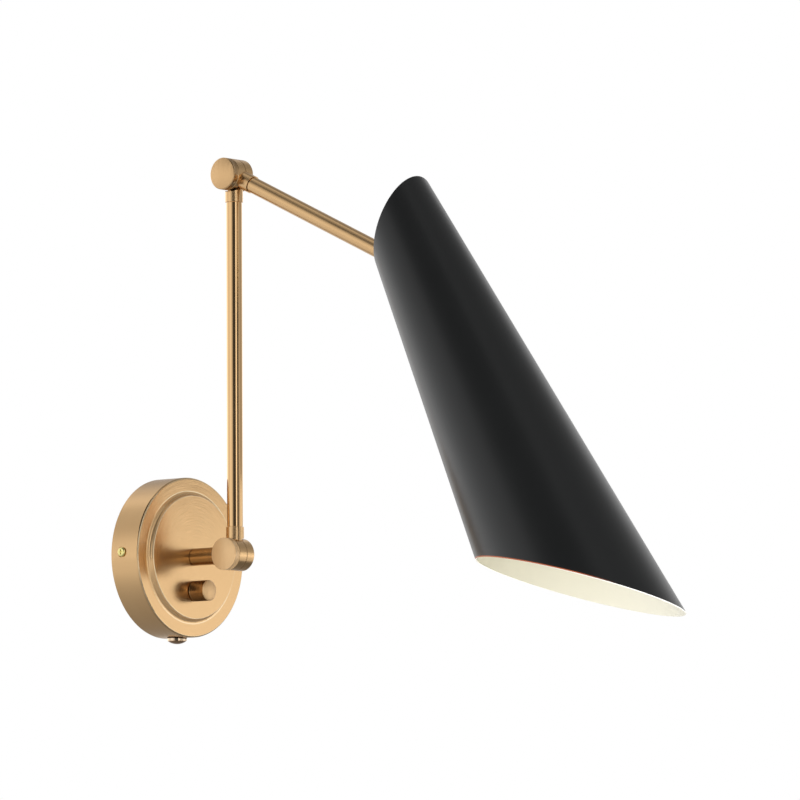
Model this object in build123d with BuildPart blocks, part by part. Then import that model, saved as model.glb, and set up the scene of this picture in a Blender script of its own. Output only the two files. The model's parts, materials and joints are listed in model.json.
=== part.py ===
"""Swing arm wall lamp: wall plate, two jointed arms and a cone shade that turns about the upper arm.

Millimetres. The origin is the centre of the wall plate's back, +Y goes into the wall and +Z is up.
"""

import os
from math import asin, cos, degrees, radians, sin, sqrt, tan

from build123d import *

os.makedirs("parts", exist_ok=True)

# Wall plate
PLATE_D = 120.0
PLATE_DEPTH = 26.0  # from the wall to the outer step
DISC_D = 93.0
DISC_RISE = 4.0  # from the outer step to the raised disc's face
DISC_LAND = 1.0  # upright edge of the disc above the cove
DISC_EDGE_R = 0.5
RIM_R = 1.4
SHEET = 1.2

# Wall bracket and screws
BRACKET_W = 16.0
BRACKET_T = 2.0
EAR_GAP = 0.45  # between an ear's corners and the plate's inside
EAR_H = 16.0
WALL_HOLE_PITCH = 60.0
WALL_HOLE_D = 4.6
WIRE_HOLE_D = 9.0
GROUND_X = 15.0
SCREW_D = 3.9
SCREW_HEAD_D = 7.2
SCREW_HEAD_H = 2.2
SCREW_HEAD_R = 1.3
SIDE_SCREW_OUT = 10.6  # from the wall to the side screws' axis
SIDE_SCREW_UP = 1.8  # from the plate's middle
SIDE_SCREW_L = 9.0
SPOT_FACE_D = 8.4
SPOT_FACE_DEPTH = 0.6

# Lamp pipe thread, shared by the post, the cord inlet, the arms' ends and the lampholder
THREAD_D = 9.9

# Post and its fixing
HINGE_OUT = 70.0  # from the wall to the lower hinge's axis
POST_D = 13.0
NIPPLE_BORE = 7.0
NIPPLE_TAIL = 6.8  # length inside the wall plate
NIPPLE_IN_POST = 11.0
WASHER_D = 18.0
WASHER_T = 1.0
NUT_AF = 14.0
NUT_T = 4.0

# Dimmer
DIMMER_DROP = 25.5  # from the post's axis down to the knob's axis
CASE_D = 17.0
CASE_H = 9.0
BUSH_D = 7.0
BUSH_OUT = 4.5
SHAFT_D = 4.0
SHAFT_OUT = 11.0
SHAFT_IN = 4.0
DIMMER_NUT_AF = 10.0
DIMMER_NUT_T = 2.0
KNOB_D = 15.5
KNOB_L = 14.3
KNOB_GAP = 0.6
KNOB_NUT_GAP = 0.5
KNOB_EDGE = 0.7

# Cord inlet under the plate
INLET_OUT = 12.0  # from the wall to the inlet's axis
INLET_D = 15.0
INLET_RIM_H = 2.1
INLET_THREAD_L = 8.0
INLET_BORE = 7.0
INLET_NUT_AF = 13.0
INLET_NUT_T = 3.0
PLUG_D = 13.6
PLUG_H = 2.4
PLUG_LAND = 0.3  # upright edge above the plug's dome
PLUG_STEM_L = 7.0

# Arms
LOWER_ARM = 285.0  # hinge to hinge
UPPER_ARM = 210.0  # hinge to the point where the arm's and the shade's axes meet
ARM_SLOPE = 25.7  # degrees below level
TUBE_D = 12.0

# Friction swivels
KNUCKLE_D = 24.0
HALF_T = 8.2  # from the hinge's middle plane to a half's outer face
HALF_GAP = 0.3  # from the middle plane to a half's inner face
RING_T = 0.5
RING_D = 23.0
CAP_T = 5.3
CAP_EDGE = 0.6
HALF_EDGE = 0.3
POCKET_D = 19.0
POCKET_DEPTH = 5.0
BOSS_D = 9.5
STUD_D = 6.0
TAP_DEPTH = 6.0
FERRULE_D = 13.4
FERRULE_END = 20.5  # from the hinge's axis
FERRULE_RELIEF = 1.2  # between a ferrule and the other half's rim
SPIGOT_L = 7.0
WIRE_D = 6.0

# Turning joint inside the shade
BUSH_PLUG_L = 12.0
FLANGE_D = 13.0
FLANGE_T = 3.4
FLANGE_BACK = 25.0  # from the flange's arm side to the shade's pivot point
TURN_WASHER_T = 1.9
SPINDLE_D = 8.0
SPINDLE_L = 15.0
GROOVE_AT = 8.6  # from the flange's face to the groove's middle
GROOVE_DEPTH = 0.6
GRUB_D = 3.0
GRUB_GAP = 0.3  # between the grub screw and the groove's sides
GRUB_TIP_GAP = 0.2
SPINDLE_BORE = 5.0

# Shade
SHADE_BEND = 31.15  # degrees between the arm's axis and the shade's axis
SHADE_TURN = -14.0  # degrees about the arm's axis, as photographed
SHADE_TOP_D = 60.0  # across the axis point of the top cut
SHADE_BOTTOM_D = 119.0  # across the axis point of the bottom cut
SHADE_L = 336.8  # between the two axis points
PIVOT_BELOW_TOP = 52.2
TOP_SLANT = 38.3  # degrees off square
BOTTOM_SLANT = 44.6
SHADE_T = 0.8

# Shade's carrier
ELBOW_D = 15.0
ELBOW_DROP = 10.0  # from the pivot point to the spider's seat
HOLDER_NIPPLE_L = 14.0
HUB_D = 24.0
HUB_T = 2.0
SPIDER_ARM_W = 7.0
SPIDER_ARMS = 3
BAND_H = 8.0
BAND_T = 1.2

# Lampholder and lamp
HOLDER_D = 34.0
HOLDER_CAP_H = 22.0
HOLDER_WALL = 2.0
HOLDER_CAP_R = 4.0
HOLDER_SKIRT_H = 28.0
HOLDER_LIP = 8.0  # of the body, inside the cap
SCREW_SHELL_D = 27.4
SCREW_SHELL_T = 0.4
SCREW_SHELL_H = 22.0
CONTACT_D = 9.0
CONTACT_T = 0.8
LAMP_CAP_GAP = 0.2
LAMP_CAP_H = 22.0
LAMP_BUTTON_D = 10.0
LAMP_BUTTON_H = 2.0
BULB_D = 60.0
BULB_NECK_D = 25.0
BULB_NECK_TO_MIDDLE = 50.0
GLASS_T = 1.0

# Clearances
SLIP = 0.05  # between fixed pieces that slide together
RUN = 0.05  # radial, of turning shafts
SWEEP = 0.35  # between parts that pass each other
JOINT_LINE = 0.4  # open line between a ferrule and its tube
FACE_GAP = 0.1  # between flat faces that turn on each other

# Derived sizes
plate_r = PLATE_D / 2
plate_in_r = plate_r - SHEET
disc_r = DISC_D / 2
face_out = PLATE_DEPTH + DISC_RISE
face_back = face_out - SHEET
cove_r = DISC_RISE - DISC_LAND
cove_x = disc_r + cove_r
cove_out = PLATE_DEPTH + cove_r
ear_x = sqrt((plate_in_r - EAR_GAP) ** 2 - (BRACKET_W / 2) ** 2)
screw_seat = plate_r - SPOT_FACE_DEPTH
post_end = HINGE_OUT - FERRULE_END - JOINT_LINE
tube_start = FERRULE_END + JOINT_LINE
tube_bore = THREAD_D + 2 * SLIP
knuckle_r = KNUCKLE_D / 2
cap_base = HALF_T + FACE_GAP
flange_at = UPPER_ARM - FLANGE_BACK
spindle_at = flange_at + FLANGE_T
elbow_at = spindle_at + TURN_WASHER_T + FACE_GAP
groove_mid = spindle_at + GROOVE_AT
groove_w = GRUB_D + 2 * GRUB_GAP
groove_d = SPINDLE_D - 2 * GROOVE_DEPTH
cone_slope = (SHADE_BOTTOM_D - SHADE_TOP_D) / 2 / SHADE_L
pivot_r = SHADE_TOP_D / 2 + cone_slope * PIVOT_BELOW_TOP
holder_top = ELBOW_DROP + HUB_T
cap_end = holder_top + HOLDER_CAP_H
holder_end = cap_end + HOLDER_SKIRT_H
shell_floor = holder_end - SCREW_SHELL_H
lamp_cap_top = shell_floor + SCREW_SHELL_T + CONTACT_T + LAMP_BUTTON_H
lamp_cap_end = lamp_cap_top + LAMP_CAP_H
lamp_cap_r = SCREW_SHELL_D / 2 - SCREW_SHELL_T - LAMP_CAP_GAP
bulb_middle = lamp_cap_end + BULB_NECK_TO_MIDDLE

# Frames. Each one's +Z runs out along the piece.
lower_hinge = (0, -HINGE_OUT, 0)
elbow_hinge = (0, -HINGE_OUT, LOWER_ARM)
arm_dir = (0, -cos(radians(ARM_SLOPE)), -sin(radians(ARM_SLOPE)))
arm_frame = Plane(origin=elbow_hinge, x_dir=(1, 0, 0), z_dir=arm_dir)
turn_frame = Plane(arm_frame.offset(UPPER_ARM) * Rot(Z=SHADE_TURN))
shade_frame = Plane(turn_frame * Rot(X=SHADE_BEND))
shade_axis = Axis(shade_frame.origin, shade_frame.z_dir)
shade_profile = Plane(shade_frame.origin, x_dir=shade_frame.y_dir, z_dir=shade_frame.x_dir)
inlet_frame = Plane(origin=(0, -INLET_OUT, 0), x_dir=(1, 0, 0), z_dir=(0, 0, -1))


def shade_radius(down):
    """Outer radius of the shade's cone, that far down its axis from the pivot point."""
    return pivot_r + cone_slope * down


def save(builder, name):
    builder.part.label = name
    export_step(builder.part, f"parts/{name}.step")


def tube(frame, outer, inner, length):
    """Ring of the given diameters, extruded from the frame."""
    with BuildPart() as ring:
        with BuildSketch(frame):
            Circle(outer / 2)
            Circle(inner / 2, mode=Mode.SUBTRACT)
        extrude(amount=length)
    return ring.part


def hex_nut(frame, across_flats, bore, length):
    with BuildPart() as nut:
        with BuildSketch(frame):
            RegularPolygon(across_flats / 2, 6, major_radius=False)
            Circle(bore / 2, mode=Mode.SUBTRACT)
        extrude(amount=length)
    return nut.part


def pan_screw(seat, length):
    """Pan head standing on the seat, shank going back from it."""
    with BuildPart() as screw:
        with BuildSketch(seat):
            Circle(SCREW_HEAD_D / 2)
        extrude(amount=SCREW_HEAD_H)
        fillet(screw.edges().sort_by(Axis(seat.origin, seat.z_dir))[-1], SCREW_HEAD_R)
        with BuildSketch(seat):
            Circle(SCREW_D / 2)
        extrude(amount=-length)
    return screw.part


def swivel_half(hinge, tube_dir, side_dir, stud_depth):
    """Half a friction swivel: a hollow disc beside the middle plane and a ferrule centred on it."""
    seat = Plane(origin=hinge, x_dir=tube_dir, z_dir=side_dir)
    along = Plane(origin=hinge, x_dir=side_dir, z_dir=tube_dir)
    with BuildPart() as half:
        with BuildSketch(along.offset(POCKET_D / 2)):
            Circle(FERRULE_D / 2)
        extrude(amount=FERRULE_END - POCKET_D / 2)
        with BuildSketch(seat.offset(HALF_GAP)):
            Circle(knuckle_r + FERRULE_RELIEF)
        extrude(amount=-FERRULE_D, mode=Mode.SUBTRACT)
        with BuildSketch(seat.offset(HALF_GAP)):
            Circle(knuckle_r)
        extrude(amount=HALF_T - HALF_GAP)
        chamfer(
            half.edges().filter_by(GeomType.CIRCLE).sort_by(Axis(hinge, side_dir))[-1],
            HALF_EDGE,
        )
        with BuildSketch(seat.offset(HALF_GAP)):
            Circle(POCKET_D / 2)
            Circle(BOSS_D / 2, mode=Mode.SUBTRACT)
        extrude(amount=POCKET_DEPTH, mode=Mode.SUBTRACT)
        with BuildSketch(along.offset(FERRULE_END)):
            Circle(THREAD_D / 2)
        extrude(amount=SPIGOT_L)
        with BuildSketch(along.offset(BOSS_D / 2)):
            Circle(WIRE_D / 2)
        extrude(amount=FERRULE_END + SPIGOT_L, mode=Mode.SUBTRACT)
        with BuildSketch(seat.offset(HALF_GAP)):
            Circle(STUD_D / 2 + RUN)
        extrude(amount=stud_depth, mode=Mode.SUBTRACT)
    return half.part


def thumbscrew(hinge):
    """Clamping screw: a broad cap on the front half and a stud that reaches into the rear half."""
    front = Plane(origin=hinge, x_dir=(0, 1, 0), z_dir=(-1, 0, 0))
    with BuildPart() as screw:
        with BuildSketch(front.offset(cap_base)):
            Circle(knuckle_r)
        extrude(amount=CAP_T)
        chamfer(screw.edges().sort_by(Axis(hinge, (-1, 0, 0)))[-1], CAP_EDGE)
        with BuildSketch(front.offset(cap_base)):
            Circle(STUD_D / 2)
        extrude(amount=-(cap_base + HALF_GAP + TAP_DEPTH - SWEEP))
    return screw.part


# Wall plate
with BuildPart() as canopy_shell:
    with BuildSketch(Plane.XY):
        with BuildLine():
            Line((plate_r, 0), (plate_r, RIM_R - PLATE_DEPTH))
            CenterArc((plate_r - RIM_R, RIM_R - PLATE_DEPTH), RIM_R, 0, -90)
            Line((plate_r - RIM_R, -PLATE_DEPTH), (cove_x, -PLATE_DEPTH))
            CenterArc((cove_x, -cove_out), cove_r, 90, 90)
            Line((disc_r, -cove_out), (disc_r, DISC_EDGE_R - face_out))
            CenterArc((disc_r - DISC_EDGE_R, DISC_EDGE_R - face_out), DISC_EDGE_R, 0, -90)
            Line((disc_r - DISC_EDGE_R, -face_out), (0, -face_out))
            Line((0, -face_out), (0, -face_back))
            inner_turn = 90 - degrees(asin((cove_out - face_back) / (cove_r + SHEET)))
            inner_cove = CenterArc((cove_x, -cove_out), cove_r + SHEET, 90, inner_turn)
            Line((0, -face_back), inner_cove @ 1)
            Line(inner_cove @ 0, (plate_in_r, SHEET - PLATE_DEPTH))
            Line((plate_in_r, SHEET - PLATE_DEPTH), (plate_in_r, 0))
            Line((plate_in_r, 0), (plate_r, 0))
        make_face()
    revolve(axis=Axis.Y)
    with BuildSketch(Plane.XZ.offset(cove_out - SHEET)):
        Circle(THREAD_D / 2 + SLIP)
        with Locations((0, -DIMMER_DROP)):
            Circle(BUSH_D / 2 + SLIP)
    extrude(amount=face_out, mode=Mode.SUBTRACT)
    with BuildSketch(Plane.YZ.offset(-plate_r)):
        with Locations((-SIDE_SCREW_OUT, SIDE_SCREW_UP)):
            Circle(SCREW_D / 2 + SLIP)
    extrude(amount=PLATE_D, mode=Mode.SUBTRACT)
    for side in (Plane.YZ.offset(screw_seat), Plane.YZ.offset(-plate_r)):
        with BuildSketch(side):
            with Locations((-SIDE_SCREW_OUT, SIDE_SCREW_UP)):
                Circle(SPOT_FACE_D / 2)
        extrude(amount=SPOT_FACE_DEPTH, mode=Mode.SUBTRACT)
    with BuildSketch(inlet_frame):
        Circle(THREAD_D / 2 + SLIP)
    extrude(amount=PLATE_D, mode=Mode.SUBTRACT)
save(canopy_shell, "canopy_shell")

with BuildPart() as wall_bracket:
    with BuildSketch(Plane.XZ):
        Rectangle(2 * ear_x, BRACKET_W)
    extrude(amount=EAR_H)
    with BuildSketch(Plane.XZ.offset(BRACKET_T)):
        Rectangle(2 * (ear_x - BRACKET_T), BRACKET_W)
    extrude(amount=EAR_H, mode=Mode.SUBTRACT)
    fillet(wall_bracket.edges().filter_by(Axis.Z).group_by(Axis.Y)[-1], BRACKET_T)
    with BuildSketch(Plane.XZ):
        Circle(WIRE_HOLE_D / 2)
        with GridLocations(WALL_HOLE_PITCH, 0, 2, 1):
            Circle(WALL_HOLE_D / 2)
        with Locations((GROUND_X, 0)):
            Circle(SCREW_D / 2 + SLIP)
    extrude(amount=BRACKET_T, mode=Mode.SUBTRACT)
    with BuildSketch(Plane.YZ.offset(-ear_x)):
        with Locations((-SIDE_SCREW_OUT, SIDE_SCREW_UP)):
            Circle(SCREW_D / 2 + SLIP)
    extrude(amount=2 * ear_x, mode=Mode.SUBTRACT)
save(wall_bracket, "wall_bracket")

with BuildPart() as side_screw_left:
    add(pan_screw(Plane((-screw_seat, -SIDE_SCREW_OUT, SIDE_SCREW_UP), z_dir=(-1, 0, 0)), SIDE_SCREW_L))
save(side_screw_left, "side_screw_left")

with BuildPart() as side_screw_right:
    add(pan_screw(Plane((screw_seat, -SIDE_SCREW_OUT, SIDE_SCREW_UP), z_dir=(1, 0, 0)), SIDE_SCREW_L))
save(side_screw_right, "side_screw_right")

with BuildPart() as ground_screw:
    add(pan_screw(Plane((GROUND_X, -BRACKET_T, 0), z_dir=(0, -1, 0)), BRACKET_T))
save(ground_screw, "ground_screw")

# Post
with BuildPart() as post_tube:
    add(tube(Plane.XZ.offset(face_out), POST_D, tube_bore, post_end - face_out))
save(post_tube, "post_tube")

with BuildPart() as post_nipple:
    add(tube(Plane.XZ.offset(face_back - NIPPLE_TAIL), THREAD_D, NIPPLE_BORE,
             NIPPLE_TAIL + SHEET + NIPPLE_IN_POST))
save(post_nipple, "post_nipple")

with BuildPart() as post_lock_washer:
    add(tube(Plane.XZ.offset(face_back - WASHER_T), WASHER_D, THREAD_D + 2 * SLIP, WASHER_T))
save(post_lock_washer, "post_lock_washer")

with BuildPart() as post_lock_nut:
    add(hex_nut(Plane.XZ.offset(face_back - WASHER_T - NUT_T), NUT_AF, THREAD_D + 2 * SLIP, NUT_T))
save(post_lock_nut, "post_lock_nut")

# Dimmer
dimmer_frame = Plane(origin=(0, -face_back, -DIMMER_DROP), x_dir=(1, 0, 0), z_dir=(0, -1, 0))

with BuildPart() as dimmer_case:
    with BuildSketch(dimmer_frame):
        Circle(CASE_D / 2)
    extrude(amount=-CASE_H)
    with BuildSketch(dimmer_frame):
        Circle(BUSH_D / 2)
    extrude(amount=SHEET + BUSH_OUT)
    with BuildSketch(dimmer_frame.offset(-SHAFT_IN)):
        Circle(SHAFT_D / 2 + RUN)
    extrude(amount=SHAFT_IN + SHEET + BUSH_OUT, mode=Mode.SUBTRACT)
save(dimmer_case, "dimmer_case")

with BuildPart() as dimmer_nut:
    add(hex_nut(dimmer_frame.offset(SHEET), DIMMER_NUT_AF, BUSH_D + 2 * SLIP, DIMMER_NUT_T))
save(dimmer_nut, "dimmer_nut")

with BuildPart() as dimmer_shaft:
    with BuildSketch(dimmer_frame.offset(FACE_GAP - SHAFT_IN)):
        Circle(SHAFT_D / 2)
    extrude(amount=SHAFT_IN - FACE_GAP + SHEET + SHAFT_OUT)
save(dimmer_shaft, "dimmer_shaft")

with BuildPart() as dimmer_knob:
    knob_back = dimmer_frame.offset(SHEET + KNOB_GAP)
    nut_r = DIMMER_NUT_AF / 2 / cos(radians(30))
    with BuildSketch(knob_back):
        Circle(KNOB_D / 2)
    extrude(amount=KNOB_L)
    chamfer(dimmer_knob.edges().sort_by(Axis.Y)[0], KNOB_EDGE)
    with BuildSketch(knob_back):
        Circle(nut_r + KNOB_NUT_GAP)
    extrude(amount=BUSH_OUT - KNOB_GAP + KNOB_NUT_GAP, mode=Mode.SUBTRACT)
    with BuildSketch(knob_back):
        Circle(SHAFT_D / 2 + SLIP)
    extrude(amount=SHAFT_OUT - KNOB_GAP + FACE_GAP, mode=Mode.SUBTRACT)
save(dimmer_knob, "dimmer_knob")

# Cord inlet
with BuildPart() as cord_inlet_bushing:
    with BuildSketch(inlet_frame.offset(plate_in_r - INLET_RIM_H)):
        Circle(INLET_D / 2)
    extrude(amount=SHEET + 2 * INLET_RIM_H)
    with BuildSketch(Plane.XZ):
        Circle(plate_r)
    extrude(amount=PLATE_DEPTH, mode=Mode.SUBTRACT)
    with BuildSketch(inlet_frame.offset(plate_r - INLET_THREAD_L)):
        Circle(THREAD_D / 2)
    extrude(amount=INLET_THREAD_L + INLET_RIM_H)
    with BuildSketch(inlet_frame):
        Circle(INLET_BORE / 2)
    extrude(amount=PLATE_D, mode=Mode.SUBTRACT)
save(cord_inlet_bushing, "cord_inlet_bushing")

with BuildPart() as cord_inlet_nut:
    nut_corner = INLET_NUT_AF / 2 / cos(radians(30))
    nut_seat = sqrt(plate_in_r**2 - nut_corner**2) - SLIP
    add(hex_nut(inlet_frame.offset(nut_seat - INLET_NUT_T), INLET_NUT_AF,
                THREAD_D + 2 * SLIP, INLET_NUT_T))
save(cord_inlet_nut, "cord_inlet_nut")

with BuildPart() as cord_inlet_plug:
    plug_seat = inlet_frame.offset(plate_r + INLET_RIM_H)
    with BuildSketch(Plane(plug_seat.origin, x_dir=(1, 0, 0), z_dir=(0, 1, 0))):
        with BuildLine():
            Polyline((0, PLUG_H), (0, 0), (PLUG_D / 2, 0), (PLUG_D / 2, PLUG_LAND))
            TangentArc((0, PLUG_H), (PLUG_D / 2, PLUG_LAND), tangent=(1, 0))
        make_face()
    revolve(axis=Axis(plug_seat.origin, plug_seat.z_dir))
    with BuildSketch(plug_seat):
        Circle(INLET_BORE / 2 - SLIP)
    extrude(amount=-PLUG_STEM_L)
save(cord_inlet_plug, "cord_inlet_plug")

# Lower swivel
with BuildPart() as lower_swivel_post_half:
    add(swivel_half(lower_hinge, (0, 1, 0), (1, 0, 0), TAP_DEPTH))
save(lower_swivel_post_half, "lower_swivel_post_half")

with BuildPart() as lower_friction_ring:
    ring_face = Plane(origin=lower_hinge, z_dir=(-1, 0, 0)).offset(-HALF_GAP)
    add(tube(ring_face, RING_D, POCKET_D, RING_T))
save(lower_friction_ring, "lower_friction_ring")

with BuildPart() as lower_thumbscrew:
    add(thumbscrew(lower_hinge))
save(lower_thumbscrew, "lower_thumbscrew")

with BuildPart() as lower_swivel_arm_half:
    add(swivel_half(lower_hinge, (0, 0, 1), (-1, 0, 0), HALF_T))
save(lower_swivel_arm_half, "lower_swivel_arm_half")

# Lower arm
with BuildPart() as lower_arm_tube:
    lower_frame = Plane(origin=lower_hinge, z_dir=(0, 0, 1))
    add(tube(lower_frame.offset(tube_start), TUBE_D, tube_bore, LOWER_ARM - 2 * tube_start))
save(lower_arm_tube, "lower_arm_tube")

# Elbow swivel
with BuildPart() as elbow_swivel_lower_half:
    add(swivel_half(elbow_hinge, (0, 0, -1), (1, 0, 0), TAP_DEPTH))
save(elbow_swivel_lower_half, "elbow_swivel_lower_half")

with BuildPart() as elbow_friction_ring:
    ring_face = Plane(origin=elbow_hinge, z_dir=(-1, 0, 0)).offset(-HALF_GAP)
    add(tube(ring_face, RING_D, POCKET_D, RING_T))
save(elbow_friction_ring, "elbow_friction_ring")

with BuildPart() as elbow_thumbscrew:
    add(thumbscrew(elbow_hinge))
save(elbow_thumbscrew, "elbow_thumbscrew")

with BuildPart() as elbow_swivel_upper_half:
    add(swivel_half(elbow_hinge, arm_dir, (-1, 0, 0), HALF_T))
save(elbow_swivel_upper_half, "elbow_swivel_upper_half")

# Upper arm and the spindle that the shade turns on
with BuildPart() as upper_arm_tube:
    add(tube(arm_frame.offset(tube_start), TUBE_D, tube_bore, flange_at - tube_start))
save(upper_arm_tube, "upper_arm_tube")

with BuildPart() as arm_end_bush:
    with BuildSketch(arm_frame.offset(flange_at - BUSH_PLUG_L)):
        Circle(THREAD_D / 2)
    extrude(amount=BUSH_PLUG_L)
    with BuildSketch(arm_frame.offset(flange_at)):
        Circle(FLANGE_D / 2)
    extrude(amount=FLANGE_T)
    with BuildSketch(arm_frame.offset(spindle_at)):
        Circle(SPINDLE_D / 2)
    extrude(amount=SPINDLE_L)
    with BuildSketch(arm_frame.offset(groove_mid - groove_w / 2)):
        Circle(SPINDLE_D / 2)
        Circle(groove_d / 2, mode=Mode.SUBTRACT)
    extrude(amount=groove_w, mode=Mode.SUBTRACT)
    with BuildSketch(arm_frame.offset(flange_at - BUSH_PLUG_L)):
        Circle(SPINDLE_BORE / 2)
    extrude(amount=BUSH_PLUG_L + FLANGE_T + SPINDLE_L, mode=Mode.SUBTRACT)
save(arm_end_bush, "arm_end_bush")

with BuildPart() as turn_washer:
    add(tube(arm_frame.offset(spindle_at), FLANGE_D, SPINDLE_D + 2 * SLIP, TURN_WASHER_T))
save(turn_washer, "turn_washer")

# Shade's carrier
with BuildPart() as shade_elbow:
    with BuildSketch(arm_frame.offset(elbow_at)):
        Circle(ELBOW_D / 2)
    extrude(amount=UPPER_ARM - elbow_at)
    with Locations(shade_frame.location):
        Sphere(ELBOW_D / 2)
    with BuildSketch(shade_frame):
        Circle(ELBOW_D / 2)
    extrude(amount=ELBOW_DROP)
    with BuildSketch(shade_frame.offset(ELBOW_DROP)):
        Circle(THREAD_D / 2)
    extrude(amount=HOLDER_NIPPLE_L)
    with BuildSketch(arm_frame.offset(elbow_at)):
        Circle(SPINDLE_D / 2 + RUN)
    extrude(amount=spindle_at + SPINDLE_L + SWEEP - elbow_at, mode=Mode.SUBTRACT)
    with BuildSketch(arm_frame.offset(elbow_at)):
        Circle(SPINDLE_BORE / 2)
    extrude(amount=UPPER_ARM - elbow_at, mode=Mode.SUBTRACT)
    with Locations(shade_frame.location):
        Sphere(SPINDLE_BORE / 2, mode=Mode.SUBTRACT)
    with BuildSketch(shade_frame):
        Circle(SPINDLE_BORE / 2)
    extrude(amount=ELBOW_DROP + HOLDER_NIPPLE_L, mode=Mode.SUBTRACT)
    with BuildSketch(Plane(turn_frame.offset(groove_mid - UPPER_ARM).origin, z_dir=turn_frame.x_dir)):
        Circle(GRUB_D / 2 + SLIP)
    extrude(amount=ELBOW_D, mode=Mode.SUBTRACT)
save(shade_elbow, "shade_elbow")

with BuildPart() as turn_grub_screw:
    grub_axis = Plane(turn_frame.offset(groove_mid - UPPER_ARM).origin, z_dir=turn_frame.x_dir)
    with BuildSketch(grub_axis.offset(groove_d / 2 + GRUB_TIP_GAP)):
        Circle(GRUB_D / 2)
    extrude(amount=(ELBOW_D - groove_d) / 2 - 2 * GRUB_TIP_GAP)
save(turn_grub_screw, "turn_grub_screw")

with BuildPart() as shade_spider:
    band_top = ELBOW_DROP + (HUB_T - BAND_H) / 2
    band_end = band_top + BAND_H
    band_r = shade_radius(band_top) - SHADE_T - SLIP
    band_end_r = shade_radius(band_end) - SHADE_T - SLIP
    with BuildSketch(shade_profile):
        with BuildLine():
            Polyline((band_r, band_top), (band_end_r, band_end), (band_end_r - BAND_T, band_end),
                     (band_r - BAND_T, band_top), close=True)
        make_face()
    revolve(axis=shade_axis)
    with BuildSketch(shade_frame.offset(ELBOW_DROP)):
        Circle(HUB_D / 2)
        with PolarLocations(0, SPIDER_ARMS):
            Rectangle(band_r - BAND_T / 2, SPIDER_ARM_W, align=(Align.MIN, Align.CENTER))
        Circle(THREAD_D / 2 + SLIP, mode=Mode.SUBTRACT)
    extrude(amount=HUB_T)
save(shade_spider, "shade_spider")

# Shade
with BuildPart() as shade_shell:
    cone_top = -PIVOT_BELOW_TOP - SHADE_TOP_D * tan(radians(TOP_SLANT))
    cone_end = SHADE_L - PIVOT_BELOW_TOP + SHADE_BOTTOM_D * tan(radians(BOTTOM_SLANT))
    with BuildSketch(shade_profile):
        with BuildLine():
            Polyline((shade_radius(cone_top), cone_top), (shade_radius(cone_end), cone_end),
                     (shade_radius(cone_end) - SHADE_T, cone_end),
                     (shade_radius(cone_top) - SHADE_T, cone_top), close=True)
        make_face()
    revolve(axis=shade_axis)
    top_cut = Plane(shade_frame.offset(-PIVOT_BELOW_TOP) * Rot(X=-TOP_SLANT))
    bottom_cut = Plane(shade_frame.offset(SHADE_L - PIVOT_BELOW_TOP) * Rot(X=BOTTOM_SLANT))
    split(bisect_by=top_cut, keep=Keep.TOP)
    split(bisect_by=bottom_cut, keep=Keep.BOTTOM)
save(shade_shell, "shade_shell")

# Lampholder
with BuildPart() as lampholder_cap:
    with BuildSketch(shade_frame.offset(holder_top)):
        Circle(HOLDER_D / 2)
    extrude(amount=HOLDER_CAP_H)
    fillet(lampholder_cap.edges().sort_by(shade_axis)[0], HOLDER_CAP_R)
    with BuildSketch(shade_frame.offset(holder_top + HOLDER_CAP_R)):
        Circle(HOLDER_D / 2 - HOLDER_WALL)
    extrude(amount=HOLDER_CAP_H, mode=Mode.SUBTRACT)
    with BuildSketch(shade_frame.offset(holder_top)):
        Circle(THREAD_D / 2 + SLIP)
    extrude(amount=HOLDER_CAP_H, mode=Mode.SUBTRACT)
save(lampholder_cap, "lampholder_cap")

with BuildPart() as lampholder_body:
    with BuildSketch(shade_frame.offset(cap_end - HOLDER_LIP)):
        Circle(HOLDER_D / 2 - HOLDER_WALL - SLIP)
    extrude(amount=HOLDER_LIP + HOLDER_SKIRT_H)
    with BuildSketch(shade_frame.offset(cap_end)):
        Circle(HOLDER_D / 2)
    extrude(amount=HOLDER_SKIRT_H)
    with BuildSketch(shade_frame.offset(shell_floor)):
        Circle(SCREW_SHELL_D / 2 + SLIP)
    extrude(amount=HOLDER_SKIRT_H, mode=Mode.SUBTRACT)
save(lampholder_body, "lampholder_body")

with BuildPart() as lampholder_shell:
    with BuildSketch(shade_frame.offset(shell_floor)):
        Circle(SCREW_SHELL_D / 2)
    extrude(amount=SCREW_SHELL_H)
    with BuildSketch(shade_frame.offset(shell_floor + SCREW_SHELL_T)):
        Circle(SCREW_SHELL_D / 2 - SCREW_SHELL_T)
    extrude(amount=SCREW_SHELL_H, mode=Mode.SUBTRACT)
    with BuildSketch(shade_frame.offset(shell_floor)):
        Circle(CONTACT_D / 2 + HOLDER_WALL)
    extrude(amount=SCREW_SHELL_T, mode=Mode.SUBTRACT)
save(lampholder_shell, "lampholder_shell")

with BuildPart() as lampholder_contact:
    with BuildSketch(shade_frame.offset(shell_floor)):
        Circle(CONTACT_D / 2)
    extrude(amount=SCREW_SHELL_T + CONTACT_T)
save(lampholder_contact, "lampholder_contact")

# Lamp
with BuildPart() as bulb_cap:
    with BuildSketch(shade_frame.offset(lamp_cap_top)):
        Circle(lamp_cap_r)
    extrude(amount=LAMP_CAP_H)
    chamfer(bulb_cap.edges().sort_by(shade_axis)[0], LAMP_BUTTON_H)
    with BuildSketch(shade_frame.offset(lamp_cap_top - LAMP_BUTTON_H)):
        Circle(LAMP_BUTTON_D / 2)
    extrude(amount=LAMP_BUTTON_H)
save(bulb_cap, "bulb_cap")

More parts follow.
